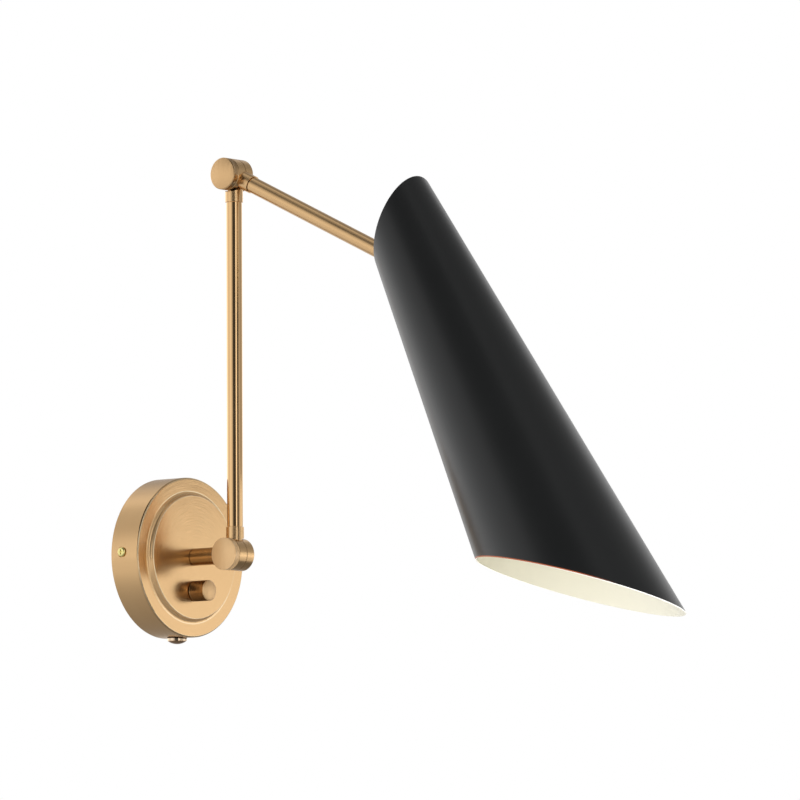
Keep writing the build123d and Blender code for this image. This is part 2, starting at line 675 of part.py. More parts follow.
with BuildPart() as bulb_glass:
    with BuildSketch(shade_profile):
        with BuildLine():
            Spline((BULB_NECK_D / 2, lamp_cap_end), (BULB_D / 2, bulb_middle), tangents=((0, 1), (0, 1)))
            CenterArc((0, bulb_middle), BULB_D / 2, 0, 90)
            Line((0, bulb_middle + BULB_D / 2), (0, bulb_middle + BULB_D / 2 - GLASS_T))
            CenterArc((0, bulb_middle), BULB_D / 2 - GLASS_T, 0, 90)
            Spline((BULB_NECK_D / 2 - GLASS_T, lamp_cap_end), (BULB_D / 2 - GLASS_T, bulb_middle),
                   tangents=((0, 1), (0, 1)))
            Line((BULB_NECK_D / 2 - GLASS_T, lamp_cap_end), (BULB_NECK_D / 2, lamp_cap_end))
        make_face()
    revolve(axis=shade_axis)
save(bulb_glass, "bulb_glass")
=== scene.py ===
"""Dresses the swing arm wall lamp: knurls, screws, nuts, shade, finishes and stage."""

import json
from collections import namedtuple
from math import atan2, cos, pi, radians, sin, tan

import bmesh
import bpy
from bpy.props import FloatProperty, FloatVectorProperty, IntProperty, PointerProperty
from mathutils import Matrix, Vector


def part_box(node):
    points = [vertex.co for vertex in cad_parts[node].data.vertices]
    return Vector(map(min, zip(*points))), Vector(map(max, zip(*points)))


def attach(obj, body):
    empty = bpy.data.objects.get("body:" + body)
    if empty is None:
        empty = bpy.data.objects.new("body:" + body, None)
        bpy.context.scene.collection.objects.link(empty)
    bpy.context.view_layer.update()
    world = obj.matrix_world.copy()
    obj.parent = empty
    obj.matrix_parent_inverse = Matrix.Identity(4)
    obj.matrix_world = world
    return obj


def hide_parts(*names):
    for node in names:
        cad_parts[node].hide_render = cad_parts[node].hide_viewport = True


bl_info = {
    "name": "Swing Arm Wall Lamp",
    "version": (1, 0, 0),
    "blender": (4, 5, 0),
    "location": "View3D > Sidebar > Lamp",
    "description": "Finishes, knurls, screw recesses and a stage for the swing arm wall lamp",
    "category": "Object",
}

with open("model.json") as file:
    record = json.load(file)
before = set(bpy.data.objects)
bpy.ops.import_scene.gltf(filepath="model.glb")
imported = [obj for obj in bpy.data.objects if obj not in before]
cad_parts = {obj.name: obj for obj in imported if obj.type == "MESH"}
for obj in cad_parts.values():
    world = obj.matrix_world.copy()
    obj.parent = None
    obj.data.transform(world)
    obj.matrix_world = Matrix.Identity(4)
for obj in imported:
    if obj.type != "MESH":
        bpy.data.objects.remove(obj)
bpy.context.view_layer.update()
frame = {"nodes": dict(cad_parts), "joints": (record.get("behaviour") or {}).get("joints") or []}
joints = {joint["name"]: joint for joint in frame["joints"]}

MM = 0.001
LOWER_HINGE = Vector(joints["lower_hinge"]["pos_m"])
ELBOW_HINGE = Vector(joints["elbow_hinge"]["pos_m"])
PIVOT = Vector(joints["shade_turn"]["pos_m"])
ARM_AXIS = Vector(joints["shade_turn"]["axis"]).normalized()
DIMMER_FACE = Vector(joints["dimmer_turn"]["pos_m"])
PLATE_CENTRE = Vector((0, 0, 0))
WALL_AXIS = Vector((0, -1, 0))
UP = Vector((0, 0, 1))
LEFT = Vector((-1, 0, 0))
RIGHT = Vector((1, 0, 0))
# Shade's own axes at rest: bent off the arm's axis, then turned about it
SHADE_TURN = Matrix.Rotation(radians(-14), 3, ARM_AXIS)
SHADE_BEND = radians(31.15)

# Colour sockets of a Mix node, by number because its other sockets have the same names
MIX_FIRST, MIX_SECOND, MIX_RESULT = 6, 7, 2

# Brushed brass: strength of the grain, and roughness of the metal
PLATE_BRUSH = (0.42, 0.24)
POST_BRUSH = (0.30, 0.26)
LOWER_TUBE_BRUSH = (0.03, 0.09)
UPPER_TUBE_BRUSH = (0.20, 0.20)
SWIVEL_BRUSH = (0.25, 0.26)
KNURL_BRUSH = (0.20, 0.27)
FACE_BRUSH = (1.10, 0.40)
# Share that a milky lacquer takes off the metal
BARE = 0.0
COVE_LACQUER = 0.22
LOWER_CAP_LACQUER = 0.65
KNOB_FACE_LACQUER = 0.25
# Share of painted shade, the groove's dark colour, at the bottom of a knurl
LOWER_CAP_GROOVE_SHADE = 0.8
UPPER_CAP_GROOVE_SHADE = 0.9
KNOB_GROOVE_SHADE = 1.0

# Roll-off round a turned face: how far down and how far in
CAP_ROLL = (0.08 * MM, 0.12 * MM)
KNOB_ROLL = (0.10 * MM, 0.15 * MM)
# Screws: narrow end of a stud or shank, chamfers, and a cross recess's foot against its mouth
POINT_SHARE = 0.8
STUD_CHAMFER = 0.6 * MM
SHANK_CHAMFER = 0.4 * MM
HEAD_CHAMFER = 0.15 * MM
RECESS_TAPER = 0.55
# Nuts: end circle against the flats, and slope of the turned-off corners
NUT_FACE_SHARE = 0.96
NUT_CORNER_SLOPE = radians(30)
# How far a cutter stands past what it cuts, and distances that count as touching
CUT_PAST = 0.2 * MM
BARREL_PAST = 0.01 * MM
TOUCHING = 1e-6
MERGED = 0.5e-6
# Reddish line at the shade's mouth, in radii of the mouth: its reach to the tip, and its fade
RED_LINE_REACH = 0.8
RED_LINE_FADE = 3.0

# Floor as mirrors see it: centre of a dark patch, and its levels by metres from there
DARK_PATCH = (1.1, -0.9, 0)
DARK_PATCH_FADE = (0, 5, ((0.6, 1.0), (4.2, 0.0)))
# Share of plain white in the floor as the camera sees it, by the same distance
FAR_FLOOR = (0, 10, ((2.0, 0.0), (9.0, 1.0)))
# Room as mirrors see it, each ramp as its range and stops. Round it, in degrees to the right:
ROUND_ROOM = (-180, 180, (
    (-180, 0.5), (-150, 1.2), (-130, 1.7), (-108, 1.1), (-85, 0.95), (-72, 1.0), (-65, 1.25),
    (-48, 1.05), (-28, 0.6), (-22, 0.08), (13, 0.05), (17, 0.7), (22, 1.4), (25, 2.4), (28, 1.2),
    (32, 0.75), (40, 0.7), (55, 0.8), (72, 0.6), (92, 0.45), (113, 0.45), (132, 0.55), (165, 0.8),
    (180, 0.5)))
# Up its walls, by the height of a unit direction, and from the left wall across to the right one
LEFT_WALL = (-1, 1, (
    (-1, 0.25), (-0.7, 0.35), (-0.45, 0.8), (0, 1.0),
    (0.2, 0.95), (0.55, 0.62), (0.75, 0.58), (1, 0.45)))
RIGHT_WALL = (-1, 1, (
    (-1, 0.2), (-0.34, 0.25), (-0.22, 0.95), (0, 1.0),
    (0.38, 0.95), (0.52, 0.74), (0.68, 0.56), (1, 0.44)))
WALL_TO_WALL = (-1, 1, ((-0.2, 0.0), (0.2, 1.0)))
# A dark patch of ceiling, and a low band of light behind the lamp
DARK_CEILING = Vector((-0.66, 0, 0.75))
CEILING = (-1, 1, ((0.88, 1.0), (0.95, 0.12)))
BEHIND = (-1, 1, ((-0.9, 0.45), (-0.6, 0.0)))
LOW_BAND = (-1, 1, ((-0.25, 0.0), (-0.1, 1.0), (0.13, 1.0), (0.25, 0.0)))
# Soft boxes: name, side, place and aim in metres, and whether mirrors see them
SOFT_BOXES = (
    ("side_box", 1.5, (2.5, 0.5, 0.95), (0, -0.25, 0.12), True),
    ("card", 0.5, (0.55, -0.53, -0.13), (0, -0.07, -0.03), True),
    ("low_box", 0.5, (-0.55, -1.1, -0.45), (-0.05, -0.42, 0.05), False),
)


def length(description, millimetres):
    return FloatProperty(description=description, default=millimetres * MM,
                         subtype="DISTANCE", unit="LENGTH", precision=5)


def angle(description, degrees):
    return FloatProperty(description=description, default=radians(degrees),
                         subtype="ANGLE", unit="ROTATION")


def count(description, value):
    return IntProperty(description=description, default=value)


def number(description, value):
    return FloatProperty(description=description, default=value)


def colour(description, rgb):
    return FloatVectorProperty(description=description, default=rgb,
                               subtype="COLOR", size=3, min=0, max=1)


class LampSizes(bpy.types.PropertyGroup):
    cap_teeth: count("Knurl teeth round a clamp cap", 96)
    knob_teeth: count("Knurl teeth round the dimmer knob", 64)
    tooth_depth: length("Depth of the straight knurl", 0.22)
    cap_radius: length("Outer radius of a clamp cap", 12.0)
    cap_height: length("Thickness of a clamp cap", 5.3)
    cap_base: length("From the hinge's middle plane to the cap", 8.3)
    cap_edge: length("Chamfer round a clamp cap's face", 0.6)
    cap_lip: length("Chamfer round a clamp cap's back", 0.25)
    stud_radius: length("Clamp screw's stud", 3.0)
    stud_reach: length("From the cap back to the stud's end", 14.25)
    knob_radius: length("Outer radius of the dimmer knob", 7.75)
    knob_length: length("Length of the dimmer knob", 14.3)
    knob_gap: length("From the plate's disc to the knob", 0.6)
    knob_edge: length("Chamfer round the knob's face", 0.7)
    knob_lip: length("Chamfer round the knob's back", 0.3)
    knob_recess_radius: length("Recess in the knob, over the dimmer's nut", 6.27)
    knob_recess_depth: length("Recess in the knob, over the dimmer's nut", 4.4)
    screw_head_radius: length("Pan head of the side and earth screws", 3.6)
    screw_head_height: length("Pan head of the side and earth screws", 2.2)
    screw_round_off: length("Rounding of a pan head's upper edge", 1.3)
    screw_shank_radius: length("Shank of the side and earth screws", 1.95)
    side_screw_shank: length("Length of a side screw under its head", 9.0)
    earth_screw_shank: length("Length of the earth screw under its head", 2.0)
    recess_width: length("Width of a cross recess's slot", 0.95)
    recess_length: length("Length of a cross recess's slot", 4.2)
    recess_depth: length("Depth of a cross recess", 1.3)
    # The burnished lines below are painted highlights along the plate's edges
    disc_edge: length("Radius of the burnished line round the raised disc", 46.25)
    cove_edge: length("Radius of the burnished line outside the cove", 49.8)
    rim_edge: length("Radius of the burnished line round the plate", 59.2)
    rim_height: length("From the wall to where the burnished lines start", 24.6)
    edge_line: length("Half the width of a burnished line", 0.35)
    joint_line: length("Width of the dark line where the post meets the plate", 0.5)
    crevice: length("Height of the dark line round the cord inlet", 0.7)
    thread_radius: length("Lamp pipe thread of the nipple and the cord inlet", 4.95)
    thread_pitch: length("Lamp pipe thread of the nipple and the cord inlet", 0.95)
    thread_depth: length("Lamp pipe thread of the nipple and the cord inlet", 0.35)
    nut_bore: length("Radius of the bore in the two pipe nuts", 5.05)
    dimmer_nut_bore: length("Radius of the bore in the dimmer's nut", 3.55)
    nut_sink: length("Depth of the countersinks in the nuts", 0.35)
    shade_sides: count("Segments round the cone", 256)
    shade_top_radius: length("Across the axis at the top cut", 30.0)
    shade_bottom_radius: length("Across the axis at the bottom cut", 59.5)
    shade_length: length("Along the axis between the cuts", 336.8)
    pivot_below_top: length("From the top cut to the turning joint", 52.2)
    shade_wall: length("Sheet thickness", 0.8)
    # The line at the mouth is a reddish line along the black paint's edge
    red_line_width: length("Width of the worn line at the shade's mouth", 0.8)
    top_slant: angle("Top cut off square", 38.3)
    bottom_slant: angle("Bottom cut off square", 44.6)


class LampColours(bpy.types.PropertyGroup):
    brass_light: colour("Satin brass on the ridges of its grain", (0.80, 0.535, 0.275))
    brass_dark: colour("Satin brass in its grain", (0.69, 0.43, 0.205))
    # Painted shade: dark colour at the bottom of knurl grooves and along the post's joint with the
    # plate
    brass_groove: colour("Tarnish at the bottom of a knurl", (0.22, 0.12, 0.055))
    # Painted highlight: light colour of the lines along the plate's edges
    brass_edge: colour("Burnished edges of the plate", (0.93, 0.72, 0.45))
    bright_brass: colour("Polished screws", (0.96, 0.84, 0.34))
    inlet: colour("Polished ring of the cord inlet", (0.84, 0.66, 0.47))
    bronze: colour("Polished plug of the cord inlet", (0.44, 0.27, 0.15))
    # Painted shadow in the crevice where the cord inlet meets the plate
    tarnish: colour("Crevice between the cord inlet and the plate", (0.05, 0.025, 0.012))
    steel: colour("Plated hidden pieces", (0.62, 0.63, 0.64))
    aluminium: colour("Bulb's cap", (0.72, 0.72, 0.73))
    black: colour("Outside of the shade", (0.0062, 0.0069, 0.0073))
    cream: colour("Inside of the shade", (0.90, 0.87, 0.74))
    rim: colour("Edge of the black paint at the shade's mouth", (0.42, 0.10, 0.03))
    edge: colour("Cut edge of the shade", (0.92, 0.90, 0.84))
    plastic: colour("Dimmer case and lampholder cap", (0.02, 0.02, 0.021))
    nylon: colour("Friction rings and washer", (0.34, 0.33, 0.31))
    insulator: colour("Lampholder body", (0.80, 0.78, 0.73))
    glass: colour("Bulb", (0.90, 0.90, 0.87))
    floor: colour("Studio floor", (0.90, 0.90, 0.90))
    mirrored_floor: colour("Dark patch of floor that the brass mirrors", (0.15, 0.15, 0.15))


class LampStage(bpy.types.PropertyGroup):
    floor_height: length("Height of the studio floor", -650.0)
    floor_size: length("Side of the studio floor", 30000.0)
    azimuth: angle("Camera's place round the lamp, from the wall's right", 219.5745)
    elevation: angle("Camera's height over the lamp", -5.3897)
    roll: angle("Camera's tilt to one side", -0.3076)
    aim_right: length("From the plate to the aim point, to the camera's right", 176.81)
    aim_up: length("From the plate to the aim point, upwards for the camera", 119.72)
    camera_distance: length("From the aim point to the camera", 5000.0)
    lens: number("Focal length in millimetres", 299.16)
    sky: number("Strength of the even light all round", 0.95)
    side_box: number("Power of the soft box at the right, in watts", 2.8)
    card: number("Power of the bright card beside the plate, in watts", 0.55)
    low_box: number("Power of the soft box under the shade, in watts", 6.0)


class Value:
    """A number on its way through a finish's nodes. Python's operators add the Math nodes."""

    def __init__(self, finish, socket):
        self.finish = finish
        self.socket = socket

    def __add__(self, other):
        return self.finish.math("ADD", self, other)

    def __sub__(self, other):
        return self.finish.math("SUBTRACT", self, other)

    def __rsub__(self, other):
        return self.finish.math("SUBTRACT", other, self)

    def __mul__(self, other):
        return self.finish.math("MULTIPLY", self, other)

    def __gt__(self, other):
        return self.finish.math("GREATER_THAN", self, other)

    def __lt__(self, other):
        return self.finish.math("LESS_THAN", self, other)

    __radd__ = __add__
    __rmul__ = __mul__


class Finish:
    """Node tree of a material or of the world, with its shader."""

    def __init__(self, tree, shader):
        self.tree = tree
        self.shader = shader

    def node(self, kind, settings=None, inputs=None):
        """New node: its settings first, then the values or links of its sockets."""
        node = self.tree.nodes.new("ShaderNode" + kind)
        for name, value in (settings or {}).items():
            if name == "stops":
                set_stops(node.color_ramp, value)
            else:
                setattr(node, name, value)
        for name, value in (inputs or {}).items():
            self.feed(node.inputs[name], value)
        return node

    def feed(self, socket, value):
        source = value.socket if isinstance(value, Value) else value
        if isinstance(source, bpy.types.NodeSocket):
            self.tree.links.new(source, socket)
        else:
            socket.default_value = source

    def value(self, kind, settings=None, inputs=None, output=0):
        return Value(self, self.node(kind, settings, inputs).outputs[output])

    def math(self, operation, first, second=0.0):
        return self.value("Math", {"operation": operation}, {0: first, 1: second})

    def clamp(self, value):
        """Value kept between 0 and 1."""
        return self.math("MINIMUM", self.math("MAXIMUM", value, 0.0), 1.0)

    def ramp(self, value, low, high, stops):
        """Level read off a row of stops, which lie between two values."""
        places = [((at - low) / (high - low), level) for at, level in stops]
        share = (value - low) * (1 / (high - low))
        return self.value("ValToRGB", {"stops": places}, {"Fac": share})

    def length(self, vector):
        return self.value("VectorMath", {"operation": "LENGTH"}, {0: vector}, output="Value")

    def vector(self, operation, *inputs):
        """Vector worked out from vectors, or from a vector and a scale."""
        keys = (0, "Scale") if operation == "SCALE" else (0, 1)
        node = self.node("VectorMath", {"operation": operation}, dict(zip(keys, inputs)))
        return node.outputs["Vector"]

    def dot(self, first, second):
        inputs = {0: first, 1: second}
        return self.value("VectorMath", {"operation": "DOT_PRODUCT"}, inputs, output="Value")

    def noise(self, vector, scale, detail=2.0, roughness=0.5):
        return self.value("TexNoise", None, {"Vector": vector, "Scale": scale, "Detail": detail,
                                             "Roughness": roughness})

    def blend(self, factor, first, second):
        """Colour between two colours."""
        inputs = {"Factor": factor, MIX_FIRST: first, MIX_SECOND: second}
        return self.node("Mix", {"data_type": "RGBA"}, inputs).outputs[MIX_RESULT]

    def mark(self, tint, marks):
        """Tint with each mark's colour under its mask."""
        for mask_of, rgb in marks:
            tint = self.blend(mask_of(self), tint, rgba(rgb))
        return tint

    def set(self, **inputs):
        """Sockets of the shader, named with underscores for spaces."""
        for name, value in inputs.items():
            self.feed(self.shader.inputs[name.replace("_", " ")], value)

    def bump(self, strength, distance, height):
        """Relief on the shader's normal."""
        inputs = {"Strength": strength, "Distance": distance, "Height": height}
        self.set(Normal=self.node("Bump", None, inputs).outputs[0])


def set_stops(ramp, stops):
    """Grey stops of a colour ramp, as pairs of place and level."""
    ramp.interpolation = "EASE"
    while len(ramp.elements) < len(stops):
        ramp.elements.new(1.0)
    for element, (place, level) in zip(ramp.elements, stops):
        element.position = place
        element.color = (level, level, level, 1)


def new_finish(name):
    material = bpy.data.materials.new(name)
    material.use_nodes = True
    return Finish(material.node_tree, material.node_tree.nodes["Principled BSDF"]), material


def rgba(rgb, share=1.0):
    """Colour for a socket, darkened to a share of itself."""
    return (*[channel * share for channel in rgb], 1.0)


def swing(noise, span):
    """Change by up to half a span each way, from a noise."""
    return (noise - 0.5) * span


def weighed(first, second, share):
    """Mix of two noises, by the first one's share."""
    return first * share + second * (1 - share)


def object_point(finish):
    return finish.node("TexCoord").outputs["Object"]


Polar = namedtuple("Polar", "along out turn round_way")


def polar(finish, centre, axis):
    """Place about an axis: along it, out from it, the turn round it, and the way round."""
    side = axis.orthogonal().normalized()
    third = axis.cross(side)
    place = finish.vector("SUBTRACT", object_point(finish), centre)
    round_way = finish.vector("CROSS_PRODUCT", axis, place)
    turn = finish.math("ARCTAN2", finish.dot(place, third), finish.dot(place, side))
    return Polar(finish.dot(place, axis), finish.length(round_way), turn, round_way)


def turned_grain(finish, centre, axis):
    """Fine rings about an axis: the grain's noise and the direction across it."""
    along, out, turn, round_way = polar(finish, centre, axis)
    drift = 0.35 * MM
    rings = finish.node("CombineXYZ", None, {"X": along, "Y": out, "Z": turn * drift}).outputs[0]
    normal = finish.node("TexCoord").outputs["Normal"]
    across = finish.vector("NORMALIZE", finish.vector("CROSS_PRODUCT", normal, round_way))
    return finish.noise(rings, scale=5000.0, detail=4.0, roughness=0.8), across


def swivel_grain(finish, hinge, tube_axis):
    """Rings about the hinge on a swivel's disc, and rings about the tube on its ferrule."""
    disc, disc_across = turned_grain(finish, hinge, LEFT)
    ferrule, ferrule_across = turned_grain(finish, hinge, tube_axis)
    past_disc = bpy.context.scene.lamp_sizes.cap_radius + 0.05 * MM
    on_ferrule = polar(finish, hinge, LEFT).out > past_disc
    across = finish.blend(on_ferrule, disc_across, ferrule_across)
    return disc + on_ferrule * (ferrule - disc), across


def straight_grain(finish, lines, across):
    """Fine straight lines: the grain's noise and the direction across it."""
    place = object_point(finish)
    stretch = 0.012
    streak = finish.node("CombineXYZ", None, {
        "X": finish.dot(place, across), "Y": finish.dot(place, lines) * stretch}).outputs[0]
    return finish.noise(streak, scale=4200.0, detail=3.0, roughness=0.62), across


def grained_normal(finish, grain, across, strength):
    """Normal tipped across the grain, turned from the object to the room."""
    normal = finish.node("TexCoord").outputs["Normal"]
    tip = finish.vector("SCALE", across, swing(grain, span=strength))
    tipped = finish.vector("NORMALIZE", finish.vector("ADD", normal, tip))
    to_room = {"vector_type": "NORMAL", "convert_from": "OBJECT", "convert_to": "WORLD"}
    return finish.node("VectorTransform", to_room, {"Vector": tipped}).outputs[0]


def brass_finish(name, grain_of, brush, marks=(), lacquer=BARE, lacquer_on=None):
    """Satin brass with a fine brushed grain, faint clouding and duller patches.

    A mark is a mask and its colour. A milky lacquer takes a share off the metal, all over or
    under a mask.
    """
    colours = bpy.context.scene.lamp_colours
    strength, roughness = brush
    finish, material = new_finish(name)
    grain, across = grain_of(finish)
    clouds = finish.noise(object_point(finish), scale=38.0, detail=3.0)
    tone = weighed(grain, clouds, share=0.55)
    tint = finish.blend(tone, rgba(colours.brass_dark), rgba(colours.brass_light))
    haze = lacquer_on(finish) * lacquer if lacquer_on else lacquer
    finish.set(Base_Color=finish.mark(tint, marks),
               Metallic=1.0 - haze,
               Roughness=roughness + swing(clouds, span=0.10) + swing(grain, span=0.06),
               Normal=grained_normal(finish, grain, across, strength))
    return material


def turned_brass(name, centre, axis, brush, **more):
    return brass_finish(name, lambda finish: turned_grain(finish, centre, axis), brush, **more)


def straight_brass(name, lines, across, lacquer):
    return brass_finish(name, lambda finish: straight_grain(finish, lines, across), FACE_BRUSH,
                        lacquer=lacquer)


def swivel_brass(name, hinge, tube_axis):
    return brass_finish(name, lambda finish: swivel_grain(finish, hinge, tube_axis), SWIVEL_BRUSH)


def knurled_brass(name, centre, axis, radius, band, ridge, tarnish, lacquer):
    """Turned brass with a band of teeth in a tone that stands for how light falls on the band, and
    painted shade in their grooves.
    """
    low, high = band
    depth = bpy.context.scene.lamp_sizes.tooth_depth

    def on_band(finish):
        along = polar(finish, centre, axis).along
        return (along > low) * (along < high)

    # Painted shade: darker the deeper a point lies below the tops of the teeth
    def groove(finish):
        sunk = radius - polar(finish, centre, axis).out
        return finish.clamp(sunk * (1 / depth)) * on_band(finish) * tarnish

    marks = [(on_band, ridge), (groove, bpy.context.scene.lamp_colours.brass_groove)]
    return turned_brass(name, centre, axis, KNURL_BRUSH, marks=marks, lacquer=lacquer)


def cut_thread(finish, centre, axis):
    """Relief of a screw thread about an axis, on what lies within the thread's radius."""
    sizes = bpy.context.scene.lamp_sizes
    pitch = sizes.thread_pitch
    past_crest = sizes.thread_radius + 0.1 * MM
    place = polar(finish, centre, axis)
    flank = finish.math("PINGPONG", place.along + place.turn * (pitch / (2 * pi)), pitch / 2)
    finish.bump(strength=1.0, distance=sizes.thread_depth,
                height=flank * (2 / pitch) * (place.out < past_crest))


def polished_finish(name, tint, roughness, thread=None, marks=()):
    """Bright metal with a few faint clouds and hairlines. Marks as on brass."""
    finish, material = new_finish(name)
    place = object_point(finish)
    clouds = finish.noise(place, scale=160.0, detail=3.0)
    specks = finish.noise(place, scale=2200.0)
    cloud_haze, speck_haze = 0.10, 0.05
    shine = finish.blend(clouds, rgba(tint, share=0.86), rgba(tint))
    finish.set(Base_Color=finish.mark(shine, marks),
               Metallic=1.0,
               Roughness=roughness + clouds * cloud_haze + specks * speck_haze)
    if thread:
        cut_thread(finish, *thread)
    return material


def zinc_finish(name, tint, thread=None, roughness=0.30):
    """Zinc plate: crystals of slightly different greys, dull, with fine scuffs or a thread."""
    finish, material = new_finish(name)
    place = object_point(finish)
    crystals = finish.value("TexVoronoi", None, {"Vector": place, "Scale": 420.0}, output="Color")
    spangle = finish.value("RGBToBW", None, {"Color": crystals.socket})
    clouds = finish.noise(place, scale=90.0, detail=3.0)
    scuffs = finish.noise(place, scale=1500.0, detail=3.0)
    cloud_haze, scuff_haze = 0.14, 0.10
    tone = weighed(spangle, clouds, share=0.35)
    finish.set(Base_Color=finish.blend(tone, rgba(tint, share=0.74), rgba(tint)),
               Metallic=1.0,
               Roughness=roughness + clouds * cloud_haze + scuffs * scuff_haze)
    if thread:
        cut_thread(finish, *thread)
    else:
        finish.bump(strength=0.25, distance=0.05 * MM, height=scuffs)
    return material


def moulded_finish(name, tint, roughness, spread, grain_scale, grain_height):
    """Moulded piece: an even colour with a faint mottle and a fine sparked skin."""
    finish, material = new_finish(name)
    place = object_point(finish)
    mottle = finish.noise(place, scale=70.0, detail=3.0)
    skin = finish.noise(place, scale=grain_scale)
    finish.set(Base_Color=finish.blend(mottle, rgba(tint, share=1 - spread), rgba(tint)),
               Roughness=roughness + swing(skin, span=0.16) + swing(mottle, span=0.08))
    finish.bump(strength=0.4, distance=grain_height, height=skin)
    return material


def paint_finish(name, tint, roughness, spread, marks=()):
    """Sprayed paint: fine orange peel, changes of sheen and a trace of dust. Marks as on brass."""
    finish, material = new_finish(name)
    place = object_point(finish)
    peel = finish.noise(place, scale=620.0)
    sheen = finish.noise(place, scale=14.0, detail=3.0)
    dust_level, dust_tint, dust_haze = 0.735, 0.5, 0.12
    dust = finish.noise(place, scale=2600.0) > dust_level
    coat = finish.blend(sheen + dust * dust_tint, rgba(tint, share=1 - spread), rgba(tint))
    finish.set(Base_Color=finish.mark(coat, marks),
               Roughness=roughness + swing(sheen, span=0.06) + dust * dust_haze)
    finish.bump(strength=0.22, distance=0.03 * MM, height=peel)
    return material


def dress(node, material):
    """Gives a CAD node its finish."""
    piece = frame["nodes"][node]
    piece.data.materials.clear()
    piece.data.materials.append(material)


def deselect():
    bpy.ops.object.select_all(action="DESELECT")


def choose(piece):
    deselect()
    piece.select_set(True)
    bpy.context.view_layer.objects.active = piece


def edit(piece, kind):
    """Opens a piece in edit mode with nothing selected."""
    choose(piece)
    bpy.ops.object.mode_set(mode="EDIT")
    bpy.ops.mesh.select_mode(type=kind)
    bpy.ops.mesh.select_all(action="DESELECT")


def pick(piece, parts, wanted):
    """Selects the vertices, edges or faces that are wanted."""
    mesh = bmesh.from_edit_mesh(piece.data)
    for part in getattr(mesh, parts):
        part.select_set(wanted(part))
    mesh.select_flush_mode()
    bmesh.update_edit_mesh(piece.data)


def close_edit():
    """Merges doubles, turns the faces outwards and leaves edit mode."""
    bpy.ops.mesh.select_all(action="SELECT")
    bpy.ops.mesh.remove_doubles(threshold=MERGED)
    bpy.ops.mesh.normals_make_consistent(inside=False)
    bpy.ops.object.mode_set(mode="OBJECT")


def build_up(name, sides, rings):
    """Round piece raised from a disc along +Z, ring by ring. Each ring is (height, radius)."""
    deselect()
    height, radius = rings[0]
    bpy.ops.mesh.primitive_circle_add(
        vertices=sides, radius=radius, fill_type="NGON", location=(0, 0, 0))
    piece = bpy.context.object
    piece.name = piece.data.name = name
    bpy.ops.object.mode_set(mode="EDIT")
    bpy.ops.mesh.select_mode(type="FACE")
    bpy.ops.mesh.select_all(action="SELECT")
    bpy.ops.transform.translate(value=(0, 0, height))
    for next_height, next_radius in rings[1:]:
        step = (0, 0, next_height - height)
        bpy.ops.mesh.extrude_region_move(TRANSFORM_OT_translate={"value": step})
        scale = next_radius / radius
        bpy.ops.transform.resize(value=(scale, scale, 1), center_override=(0, 0, next_height))
        height, radius = next_height, next_radius
    close_edit()
    return piece


def cut_knurl(piece, teeth, band, radius):
    """Pulls in every second vertex on a band of heights, which leaves straight teeth."""
    low, high = band
    outer_part = 0.9 * radius

    def in_groove(vertex):
        turn = atan2(vertex.co.y, vertex.co.x) / (pi / teeth)
        on_band = low - TOUCHING <= vertex.co.z <= high + TOUCHING
        return on_band and round(turn) % 2 == 1 and vertex.co.xy.length > outer_part

    edit(piece, "VERT")
    pick(piece, "verts", in_groove)
    scale = 1 - bpy.context.scene.lamp_sizes.tooth_depth / radius
    bpy.ops.transform.resize(value=(scale, scale, 1), center_override=(0, 0, 0))
    bpy.ops.object.mode_set(mode="OBJECT")


def knurled_piece(name, teeth, start, radius, height, lip, edge, roll):
    """Round piece with a knurl and a chamfered face past its first rings, and the knurl's band."""
    low, high = 2 * lip, height - edge - lip
    down, inwards = roll
    piece = build_up(name, sides=2 * teeth, rings=[
        *start, (0, radius - lip), (lip, radius), (low, radius), (high, radius),
        (height - edge, radius), (height - down, radius - edge),
        (height, radius - edge - inwards)])
    cut_knurl(piece, teeth, (low, high), radius)
    return piece, (low, high)


def modify(piece, kind, **settings):
    """Adds a modifier and applies it."""
    choose(piece)
    modifier = piece.modifiers.new(kind.title(), kind)
    for name, value in settings.items():
        setattr(modifier, name, value)
    bpy.ops.object.modifier_apply(modifier=modifier.name)


def combine(piece, operation, other):
    """Boolean of a piece with another one."""
    modify(piece, "BOOLEAN", operation=operation, object=other, solver="EXACT")


def stood_along(origin, axis):
    """Place of a piece modelled along +Z."""
    return Matrix.Translation(origin) @ axis.to_track_quat("Z", "Y").to_matrix().to_4x4()


def settle(piece, place, smooth):
    """Moves a piece to its place for good, and smooths its edges up to that many degrees."""
    choose(piece)
    piece.matrix_world = place
    bpy.ops.object.transform_apply(location=True, rotation=True, scale=True)
    bpy.ops.object.shade_smooth_by_angle(angle=radians(smooth))


def copy_of(piece, name):
    """Copy with its own mesh."""
    twin = piece.copy()
    twin.data = piece.data.copy()
    twin.name = twin.data.name = name
    bpy.context.scene.collection.objects.link(twin)
    return twin


def stand_for(piece, node, body, slot, *materials):
    """The piece takes a CAD node's place on its body."""
    piece.data.materials.clear()
    for material in materials:
        piece.data.materials.append(material)
    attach(piece, body)
    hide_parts(node)


def paint_front(piece, base, axis, height):
    """Gives the faces past a height along an axis the piece's second finish."""
    edit(piece, "FACE")
    pick(piece, "faces", lambda face: axis.dot(face.calc_center_median() - base) > height)
    piece.active_material_index = 1
    bpy.ops.object.material_slot_assign()
    bpy.ops.object.mode_set(mode="OBJECT")


